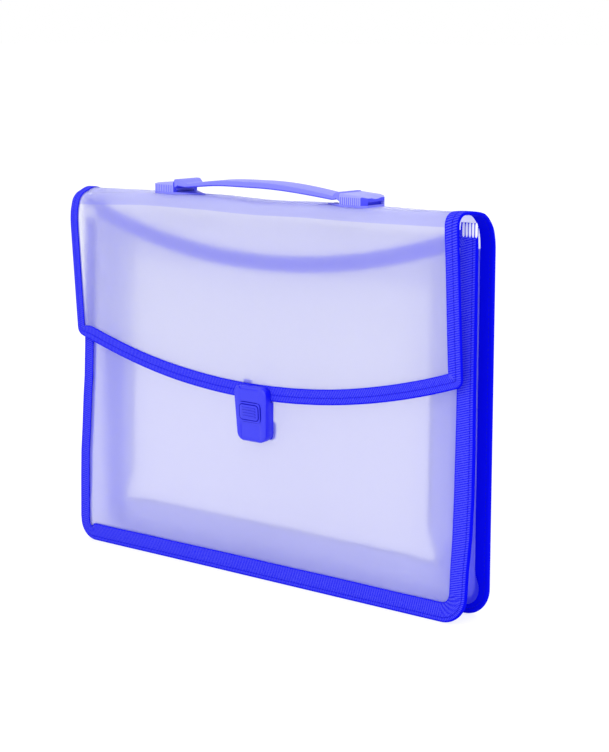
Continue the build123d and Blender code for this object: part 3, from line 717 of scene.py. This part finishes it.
def gussetSheet():
    # a strip round three sides: flange, slanting ply, ridge, slanting ply, flange
    f = gussetForm
    rearY = rearCreaseY - f["offset"]
    shares = np.concatenate([[0, 0.5], 1 + np.linspace(0, 1, 9), 2 + np.linspace(0, 1, 9)[1:], [3.5, 4]])
    counts = (44, 12, 66)

    def outline(side, foot, radius):
        # the same number of points on every outline, so that the strip's rows match
        half = halfWidth - side
        down = np.linspace(f["top"], foot + radius, counts[0])
        bend = np.radians(np.linspace(180, 270, counts[1]))[1:]
        along = np.linspace(-half + radius, half - radius, counts[2])[1:-1]
        left = [(-half, h) for h in down]
        left += [(-half + radius * (1 + math.cos(a)), foot + radius * (1 + math.sin(a))) for a in bend]
        return np.array(left + [(x, foot) for x in along] + [(-x, h) for x, h in left[::-1]])

    def near(line, place, reach):
        # 1 at this place on both sides, and 0 away from it
        away = (np.abs(line[:, 0]) - place[0]) / reach[0], (line[:, 1] - place[1]) / reach[1]
        return np.exp(-away[0] ** 2 - away[1] ** 2)[:, None]

    edge = outline(f["outerEdge"], f["outerEdge"], f["radii"][0])
    fold = outline(f["flange"], f["flange"], f["radii"][1])
    fold = fold + (edge - fold) * f["fullness"] * near(fold, f["fullPlace"], f["fullReach"])
    ridge = outline(f["sidePleat"], f["bottomPleat"], f["radii"][2])
    outwards = np.stack([np.sign(ridge[:, 0]) * f["pull"][0], np.full(len(ridge), -f["pull"][1])], -1)
    ridge = ridge + outwards * near(ridge, f["pullPlace"], f["pullReach"])

    def strip(offset):
        rows = []
        for q in shares:
            if q <= 1:
                spot, depth = edge + (fold - edge) * q, 0.0
            elif q <= 2:
                spot, depth = fold + (ridge - fold) * (q - 1), (q - 1) / 2
            elif q <= 3:
                spot, depth = ridge + (fold - ridge) * (q - 2), 0.5 + (q - 2) / 2
            else:
                spot, depth = fold + (edge - fold) * (q - 3), 1.0
            rear = np.full(len(spot), rearY)
            front = frontY(spot[:, 0], spot[:, 1]) + f["offset"]
            rows.append(np.stack([spot[:, 0], rear + (front - rear) * depth, spot[:, 1]], -1))
        grid = np.stack(rows, 1)
        across = np.gradient(grid, axis=1)
        along = np.gradient(grid, axis=0)
        normal = np.cross(along, across)
        normal /= np.linalg.norm(normal, axis=2)[:, :, None]
        return grid + normal * offset

    t = f["thickness"] / 2
    piece = sheetSolid("gussetSheet", strip(t), strip(-t), pleated)
    # painted shade: the faces beside the upright seams and round the lower corners take the deep copy of the
    # film
    piece.data.materials.append(seamShadeFilm)
    columns = len(shares) - 1
    for i, polygon in enumerate(piece.data.polygons[:2 * (len(edge) - 1) * columns]):
        j, place = i % columns, polygon.center
        seam = j < 6 or j >= columns - 2
        corner = j < columns // 2 and place.z < f["deepCorner"]
        polygon.material_index = int(abs(place.x) > f["deepFrom"] and (seam or corner))
    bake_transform(piece)
    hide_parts("gusset")


gussetSheet()
print("sheets made")


# Tapes


def thinning(heights):
    # inner face of a seam, which thins to a hem between these heights
    fall = seamThickness - hemThickness
    return lambda path: hemThickness / 2 - seamThickness + fall * smooth(path[:, 1], *heights)


def rearTapePieces():
    outer, inner = hemThickness / 2, thinning(tapeForm["rearThins"])
    line = caseLine(splitS, splitS, frontForm["cornerRadius"], frontForm["cornerRadius"])
    tape = foldedTape("rearTape", line, placeLong, outer, inner, tapeForm["edgeSeam"])
    seam = stitches("rearStitches", line, placeLong, outer, inner, tapeForm["edgeSeam"])
    for piece in (tape, seam):
        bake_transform(piece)
    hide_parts("rear_binding", "top_binding_left", "top_binding_right")


def flapTapePieces():
    place = lambda x, h, b: placeLong(x, flapCreaseS - h, b)
    line = flapLine(flapCreaseS - splitS)
    outer = hemThickness / 2
    tape = foldedTape("flapTape", line, place, outer, -outer, tapeForm["hemSeam"], tapeForm["hemInside"])
    seam = stitches("flapStitches", line, place, outer, -outer, tapeForm["hemSeam"])
    for piece in (tape, seam):
        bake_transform(piece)
    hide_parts("flap_binding")


def frontTapePieces():
    outer, inner = hemThickness / 2, thinning(tapeForm["frontThins"])
    width = tapeForm["frontWidth"]
    top = frontTopZ - frontForm["tapeShort"]
    line = caseLine(top, top, frontForm["leftRadius"], frontForm["cornerRadius"])
    tape = foldedTape("frontTape", line, placeFront, outer, inner, tapeForm["edgeSeam"], width=width)
    seam = stitches("frontStitches", line, placeFront, outer, inner, tapeForm["edgeSeam"])
    span = halfWidth - width + 0.5 * mm  # the mouth's tape ends just under the front's
    mouthLine = [(x, mouthHeight(x)) for x in np.linspace(span, -span, 161)]
    hemSeam, hemInside = tapeForm["hemSeam"], tapeForm["hemInside"]
    mouth = foldedTape("mouthTape", mouthLine, placeFront, outer, -outer, hemSeam, hemInside)
    mouthSeam = stitches("mouthStitches", mouthLine, placeFront, outer, -outer, hemSeam)
    for piece in (tape, seam, mouth, mouthSeam):
        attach(piece, "front")
    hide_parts("front_binding")
    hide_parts("mouth_binding")


sealForm = {
    "count": 5,
    "pitch": 2.55 * mm,
    "width": 1.8 * mm,
    "height": 0.9 * mm,
    "low": 255.4 * mm,
    "high": 265 * mm,
    "leftLower": 9 * mm,  # the left end stands lower, as the arch is softer there
    "fromSide": 0.6 * mm,
    "seat": 0.15 * mm,  # above the tape's face
    "taper": 0.7,  # share of its girth that a rib loses at its ends
}


def sealedEnds():
    # glossy ribs where the film is heat-sealed over the front tape's upper ends, drawn nearly white as a
    # painted highlight
    f = sealForm
    face = hemThickness / 2 + f["seat"]
    turns = np.radians(np.arange(0, 360, 30))
    lengths = np.linspace(-1, 1, 11)
    for side, name in ((1, "sealedEndRight"), (-1, "sealedEndLeft")):
        middle = (f["low"] + f["high"]) / 2 - f["leftLower"] * (side < 0)
        points, faces = [], []
        for k in range(f["count"]):
            x = side * (halfWidth - f["fromSide"] - k * f["pitch"])
            faces += tubeFaces(len(lengths), len(turns), len(points))
            for t in lengths:
                girth = 1 - t ** 6 * f["taper"]
                h = middle + t * (f["high"] - f["low"]) / 2
                points += [placeFront(x + girth * f["width"] / 2 * math.cos(turn), h,
                                      face + girth * f["height"] * math.sin(turn)) for turn in turns]
        piece = addMesh(name, points, faces, sealedRibHighlightPlastic)
        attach(piece, "front")


endForm = {
    "heights": (260 * mm, 264.6 * mm),
    "depths": (0.3 * mm, 1 * mm),  # from the middle of the film
    "across": (0.3 * mm, 13.2 * mm),  # from the case's right side
}


def frontTapeEnd():
    # only the outer ply of the front tape goes on behind the ribs at the right end
    f = endForm
    (low, high), (back, face) = f["heights"], f["depths"]
    points = [placeFront(halfWidth - x, h, b) for x in np.linspace(*f["across"], 6)
              for h, b in ((low, back), (low, face), (high, face), (high, back))]
    piece = addMesh("frontTapeEnd", points, tubeFaces(6, 4), woven)
    piece.data.shade_flat()
    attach(piece, "front")


rearTapePieces()
flapTapePieces()
frontTapePieces()
frontTapeEnd()
sealedEnds()
print("tapes made")


# Handle

handleForm = {
    "capInner": 76 * mm,  # from the middle of the case
    "outer": 97.5 * mm,
    "neck": 65.85 * mm,
    "flare": 7 * mm,  # length over which the neck widens to the shoulder
    "rise": 12.3 * mm,  # tops above the crown: middle of the grip, necks and shoulders
    "dip": 6.7 * mm,
    "shoulder": 9.5 * mm,
    "slid": 1.3 * mm,  # the left half of the soft strap stands this much higher
    # depth and thickness
    "grip": (22 * mm, 4.3 * mm),
    "neckSize": (19 * mm, 3.1 * mm),
    "shoulderSize": (24 * mm, 5 * mm),
    "shoulderEnd": (24 * mm, 6.2 * mm),
    "shoulderFace": (23.6 * mm, 6.6 * mm),
    "tongue": (15 * mm, 1.8 * mm),
    "tongueTop": 3.8 * mm,
    "tongueLength": 10 * mm,
    "softEdge": 1.3 * mm,
    "leafEnd": 57 * mm,
    "leafTip": 2.2 * mm,  # half width of the leaf's end
    "leafThin": 0.7 * mm,
    "leafRound": 2 * mm,  # length of its rounded tip
    "leafCorner": 3.7 * mm,
    "leafEdge": 0.25 * mm,
    "rivets": (63 * mm, 89.5 * mm),
    "rivetHead": (2.6 * mm, 3 * mm, 0.2 * mm),  # radius of its rounded face, of its rim, and the height between
    "rivetShank": (1.5 * mm, 1.3 * mm, 0.1 * mm),  # radius, radius of the tip, and the height between
    "rivetInLeaf": 1.25 * mm,  # height of the inner rivets, which end in the thinner leaf
}
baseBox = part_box("handle_base_right")
handleY = (baseBox[0].y + baseBox[1].y) / 2
baseLow, baseHigh = baseBox[0].z, baseBox[1].z
handleHalf = (baseBox[1].y - baseBox[0].y) / 2


def softRectangle(halfDepth, halfHeight, radius, count=6):
    # points of a rectangle with rounded corners, round its middle
    points = []
    radius = min(radius, 0.97 * halfDepth, 0.97 * halfHeight)  # no two corners meet in one point
    for cy, cz, start in ((1, 1, 0), (-1, 1, 90), (-1, -1, 180), (1, -1, 270)):
        centre = (cy * (halfDepth - radius), cz * (halfHeight - radius))
        points += arc(centre, radius, start, start + 90, count)
    return np.array(points)


def loft(name, sections, material):
    # closed piece through rings of the same number of points
    grid = np.array(sections)
    return flatEnds(addMesh(name, grid, tubeFaces(*grid.shape[:2]), material))


def handleStrap():
    # bowed grip, slim necks, flared shoulders and a flat tongue in each cap
    f = handleForm
    end = f["capInner"] - 0.15 * mm  # running gap to the cap
    neck, grip, shoulder = (np.array(f[key]) for key in ("neckSize", "grip", "shoulderSize"))
    half = []
    for share in np.linspace(0, 1, 25):
        bow = math.cos(share * math.pi / 2)
        half.append((share * f["neck"], f["dip"] + bow * (f["rise"] - f["dip"]), *(neck + (grip - neck) * bow)))
    for share in np.linspace(0, 1, 9)[1:]:
        ease = float(smooth(share, 0, 1))
        top = f["dip"] + ease * (f["shoulder"] - f["dip"])
        half.append((f["neck"] + share * f["flare"], top, *(neck + (shoulder - neck) * ease)))
    half.append((end - 1 * mm, f["shoulder"], *f["shoulderEnd"]))
    half.append((end, f["shoulder"] - 0.15 * mm, *f["shoulderFace"]))
    for x in (end + 0.02 * mm, end + f["tongueLength"]):
        half.append((x, f["tongueTop"], *f["tongue"]))
    sections = []
    for side, stations in ((-1, half[:0:-1]), (1, half)):
        for x, top, depth, thick in stations:
            lifted = f["slid"] * smooth(-side * x, 5 * mm, 45 * mm) * (x < end + 0.01 * mm)
            ring = softRectangle(depth / 2, thick / 2, f["softEdge"])
            z = baseLow + top + lifted - thick / 2
            sections.append([(side * x, handleY + y, z + h) for y, h in ring])
    piece = loft("handleStrap", sections, handlePlastic)
    piece.data.materials.append(handlePaintedShade)
    for polygon in piece.data.polygons:
        polygon.material_index = int(polygon.normal.z < -0.45)  # painted shade: its underside is drawn deeper
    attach(piece, "handle")
    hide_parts("handle_strap")


def handleLeaves():
    # thin plates under the caps, drawn out to a narrow tip
    f = handleForm
    for side, name in ((1, "handleLeafRight"), (-1, "handleLeafLeft")):
        # each station: x, half width, share of the full thickness
        stations = [(f["outer"] - f["leafCorner"] * (1 - t), handleHalf - f["leafCorner"] * t, 1.0)
                    for t in np.linspace(1, 0, 6)]
        stations.append((f["capInner"], handleHalf, 1.0))
        narrow = f["leafEnd"] + f["leafRound"]
        for t in np.linspace(0, 1, 16)[1:]:
            wide = handleHalf + (f["leafTip"] - handleHalf) * (0.15 * smooth(t, 0, 1) + 0.85 * t)
            stations.append((f["capInner"] + (narrow - f["capInner"]) * t, wide, 1 - t))
        for t in np.linspace(0, 1, 6)[1:]:
            x, wide = narrow - f["leafRound"] * math.sin(t * math.pi / 2), max(math.cos(t * math.pi / 2), 0.15)
            stations.append((x, f["leafTip"] * wide, 0))
        sections = []
        for x, wide, full in stations[::-1]:
            thick = f["leafThin"] + (baseHigh - baseLow - f["leafThin"]) * full
            ring = softRectangle(wide, thick / 2, f["leafEdge"], 3)
            sections.append([(side * x, handleY + side * y, baseLow + thick / 2 + h) for y, h in ring])
        piece = loft(name, sections, handlePlastic)
        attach(piece, "top")
        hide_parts("handle_base_right" if side > 0 else "handle_base_left")


def handleRivets():
    # rivets through leaf, sheet and backing plate, with their heads below
    f = handleForm
    low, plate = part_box("handle_rivets")[0].z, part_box("handle_backing_plates")[0].z
    crown, rim, rounding = f["rivetHead"]
    shank, tip, bevel = f["rivetShank"]
    points, faces = [], []
    turns = np.radians(np.arange(0, 360, 15))
    for x in (-f["rivets"][1], -f["rivets"][0], f["rivets"][0], f["rivets"][1]):
        top = baseHigh if abs(x) > f["capInner"] else baseLow + f["rivetInLeaf"]
        outline = [(crown, low), (rim, low + rounding), (rim, plate),
                   (shank, plate), (shank, top - bevel), (tip, top)]
        faces += tubeFaces(len(outline), len(turns), len(points))
        for radius, z in outline:
            points += [(x + radius * math.cos(a), handleY + radius * math.sin(a), z) for a in turns]
    piece = addMesh("handleRivets", points, faces, handlePlastic)
    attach(piece, "top")
    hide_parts("handle_rivets")


handleStrap()
handleLeaves()
handleRivets()
print("handle made")


# Lock, caps and hidden plates: pieces of the frame that show as they are


mouldedEdge = {
    "weld": 0.002 * mm,
    "width": 0.22 * mm,
    "segments": 2,
    "sharp": math.radians(32),  # edges that turn less than this aren't rounded
}
finishes = {
    frosted: ["back_stiffener"],
    lockPlastic: ["lock_housing", "lock_back_plate", "lock_rivets", "lock_button",
                  "lock_catch", "catch_backing_plate", "catch_rivets"],
    capPlastic: ["handle_cap_left", "handle_cap_right"],
    handlePlastic: ["handle_backing_plates"],
}


def finishNode(name, material):
    # its own material and the small rounded edges that moulding leaves
    node = frame["nodes"][name]
    node.data.materials.clear()
    node.data.materials.append(material)
    node.data.shade_smooth()
    weld = node.modifiers.new("weld", "WELD")
    weld.merge_threshold = mouldedEdge["weld"]
    edge = node.modifiers.new("mouldedEdges", "BEVEL")
    edge.width, edge.segments = mouldedEdge["width"], mouldedEdge["segments"]
    edge.limit_method, edge.angle_limit = "ANGLE", mouldedEdge["sharp"]
    edge.harden_normals = True


for material, names in finishes.items():
    for name in names:
        finishNode(name, material)


lockForm = {
    "rim": 3.4 * mm,  # this far round the button, the shell's upright faces line the gap and take the painted gap shade
    "corner": 2.2 * mm,
    "ribs": 0.5 * mm,  # height of the ribs on the button
    "face": 0.3 * mm,  # the button's face stands this far out of the frame round it
    "frame": 0.8 * mm,  # height of the frame
    "gap": (-0.1 * mm, 0.75 * mm),  # painted shade line round the button, from and to this far outside its edge
    "foot": (1.7 * mm, 2.15 * mm),  # painted shade line at the foot of the frame
    "line": (-0.1 * mm, 0.05 * mm),  # the lines' undersides and faces
}
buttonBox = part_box("lock_button")
press = Vector(pressAxis)


def paintShadeOn(piece, material, chosen):
    # painted shade: faces that turn away from the front, or line a gap, get a darker copy of the plastic
    piece.data.materials.append(material)
    for polygon in piece.data.polygons:
        if chosen(polygon.normal, piece.matrix_world @ polygon.center):
            polygon.material_index = len(piece.data.materials) - 1


def turnedAway(normal, centre):
    return abs(normal.dot(press)) < 0.6


def nearButton(normal, centre):
    low, high, rim = *buttonBox, lockForm["rim"]
    return (turnedAway(normal, centre) and low.x - rim < centre.x < high.x + rim
            and low.z - rim < centre.z < high.z + rim)


def facesSideways(normal, centre):
    return abs(normal.x) > 0.6


def lineRound(name, reach, below, material):
    # painted shade: a dark flat band round the button, this far below the tops of its ribs, where the gaps lie
    # in shade
    f = lockForm
    up, out = Vector((0, -press.z, press.y)), -press
    button = frame["nodes"]["lock_button"]
    corners = [button.matrix_world @ v.co for v in button.data.vertices]
    # the lip behind the window is wider than the button, so only the front gives the edges
    top = max(v.dot(out) for v in corners)
    face = [v for v in corners if v.dot(out) > top - f["ribs"] - 0.2 * mm]
    halfWide = max(v.x for v in face)
    heights = [v.dot(up) for v in face]
    halfTall, middle = (max(heights) - min(heights)) / 2, (max(heights) + min(heights)) / 2
    points, faces = [], []
    rings = [softRectangle(halfWide + r, halfTall + r, f["corner"] + r) for r in reach]
    count = len(rings[0])
    under, over = f["line"]
    for i in range(count):
        for ring, depth in ((0, under), (1, under), (1, over), (0, over)):
            spot = up * (middle + rings[ring][i][1]) + out * (top - below + depth)
            points.append((rings[ring][i][0], spot.y, spot.z))
        for j in range(4):
            k, n = (j + 1) % 4, (i + 1) % count
            faces.append((4 * i + j, 4 * i + k, 4 * n + k, 4 * n + j))
    piece = addMesh(name, points, faces, material)
    piece.data.shade_flat()
    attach(piece, "flap")


springForm = {
    "radius": 3 * mm,
    "wire": 0.3 * mm,  # half its thickness
    "turns": 2.5,
}


def lockSpring():
    # coil behind the button, wound from its inner end out to its outer end at the button
    f = springForm
    node = frame["nodes"]["lock_spring"]
    depths = [(node.matrix_world @ v.co).dot(press) for v in node.data.vertices]
    near, far = min(depths) + f["wire"], max(depths) - f["wire"]
    low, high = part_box("lock_spring")
    middle = (Vector(low) + Vector(high)) / 2
    middle -= press * middle.dot(press)
    across, up = Vector((1, 0, 0)), Vector((0, -press.z, press.y))
    points, count, sides = [], 75, 8
    for t in np.linspace(0, 1, count):
        whole = f["turns"] * 2 * math.pi
        out = across * math.cos(t * whole) + up * math.sin(t * whole)
        ahead = (up * math.cos(t * whole) - across * math.sin(t * whole)) * f["radius"] * whole
        beside = (ahead + press * (far - near)).normalized().cross(out)
        place = middle + press * (near + (far - near) * t) + out * f["radius"]
        for turn in np.radians(np.arange(0, 360, 360 / sides)):
            points.append(place + out * f["wire"] * math.cos(turn) + beside * f["wire"] * math.sin(turn))
    piece = addMesh("lockSpring", points, tubeFaces(count, sides), springWire)
    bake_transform(piece)
    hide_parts("lock_spring")


lockSpring()
frameTop = lockForm["ribs"] + lockForm["face"]
lineRound("buttonGapShadeLine", lockForm["gap"], frameTop, lockGapPaintedShade)
lineRound("buttonFrameShadeLine", lockForm["foot"], frameTop + lockForm["frame"], lockGapPaintedShade)
paintShadeOn(frame["nodes"]["lock_housing"], lockSidePaintedShade, turnedAway)
paintShadeOn(frame["nodes"]["lock_housing"], lockGapPaintedShade, nearButton)
paintShadeOn(frame["nodes"]["lock_button"], lockGapPaintedShade, turnedAway)
# painted shade on the caps' faces that turn sideways
for name in ("handle_cap_left", "handle_cap_right"):
    paintShadeOn(frame["nodes"][name], handlePaintedShade, facesSideways)
print("lock made")


# Studio


studio = {
    "cameraPlace": (0.88267, -1.01000, 0.38521),  # fitted to the case's corners in the photograph
    "cameraTurn": 40.006,
    "cameraDip": 10.130,
    "lens": 92.69,  # mm, on a sensor of 36 mm along the long side
    "world": 0.98,
    "floorSize": 40.0,
    "floorGlow": 1.25,  # with its share it brings the paper to white and keeps the shadow
    "floorShare": 0.6,
}


lampTarget = (0, 0, 0.12)
lamps = [
    # name, place, side of the square in metres, power in watts
    ("keyLight", (0.8, -1.9, 1.1), 1.6, 13),
    ("topLight", (0.6, 0.3, 1.9), 1.4, 4),
]


def makeCamera():
    data = bpy.data.cameras.new("camera")
    data.lens = studio["lens"]
    data.sensor_width = 36
    camera = bpy.data.objects.new("camera", data)
    bpy.context.scene.collection.objects.link(camera)
    camera.location = studio["cameraPlace"]
    camera.rotation_euler = (math.radians(90 - studio["cameraDip"]), 0, math.radians(studio["cameraTurn"]))
    bpy.context.scene.camera = camera


def areaLight(name, place, target, size, power):
    data = bpy.data.lights.new(name, "AREA")
    data.shape, data.size, data.energy = "SQUARE", size, power
    lamp = bpy.data.objects.new(name, data)
    bpy.context.scene.collection.objects.link(lamp)
    lamp.location = place
    lamp.rotation_euler = (Vector(target) - Vector(place)).to_track_quat("-Z", "Y").to_euler()


def seenPlainly(tree):
    # 1 for what the eye, a reflection or a look through the film meets, and 0 for light that falls on the case
    rays = addNode(tree, "ShaderNodeLightPath")
    seen = addNode(tree, "ShaderNodeMath", {"operation": "MAXIMUM"},
                   {0: rays.outputs["Is Camera Ray"], 1: rays.outputs["Is Transmission Ray"]})
    both = addNode(tree, "ShaderNodeMath", {"operation": "MAXIMUM"},
                   {0: seen.outputs[0], 1: rays.outputs["Is Glossy Ray"]})
    return both.outputs[0]


def makeWorld():
    # an even white room
    world = bpy.data.worlds.new("studioWorld")
    bpy.context.scene.world = world
    world.use_nodes = True
    tree = world.node_tree
    tree.nodes.clear()
    light = addNode(tree, "ShaderNodeBackground", Color=(1, 1, 1, 1), Strength=studio["world"])
    white = addNode(tree, "ShaderNodeBackground", Color=(1, 1, 1, 1), Strength=1.0)
    mix = addNode(tree, "ShaderNodeMixShader",
                  links={0: seenPlainly(tree), 1: light.outputs[0], 2: white.outputs[0]})
    addNode(tree, "ShaderNodeOutputWorld", links={"Surface": mix.outputs[0]})


def makeFloor():
    # white paper that shows white to the eye and still takes the case's shadow
    size = studio["floorSize"]
    mesh = bpy.data.meshes.new("floor")
    corners = [(-size, -size, 0), (size, -size, 0), (size, size, 0), (-size, size, 0)]
    mesh.from_pydata(corners, [], [(0, 1, 2, 3)])
    floor = bpy.data.objects.new("floor", mesh)
    bpy.context.scene.collection.objects.link(floor)
    material, tree = newMaterial("paperFloor")
    paper = addNode(tree, "ShaderNodeBsdfDiffuse", Color=(0.9, 0.9, 0.9, 1))
    glow = addNode(tree, "ShaderNodeEmission", Color=(1, 1, 1, 1), Strength=studio["floorGlow"])
    share = addNode(tree, "ShaderNodeMath", {"operation": "MULTIPLY"}, {0: seenPlainly(tree)})
    share.inputs[1].default_value = studio["floorShare"]
    mix = addNode(tree, "ShaderNodeMixShader",
                  links={0: share.outputs[0], 1: paper.outputs[0], 2: glow.outputs[0]})
    addNode(tree, "ShaderNodeOutputMaterial", links={"Surface": mix.outputs[0]})
    mesh.materials.append(material)


makeCamera()
makeWorld()
makeFloor()
for name, place, size, power in lamps:
    areaLight(name, place, lampTarget, size, power)
bpy.context.scene.view_settings.view_transform = "Standard"
bpy.context.scene.cycles.transparent_max_bounces = 32  # many thin sheets lie behind each other
print("studio made")
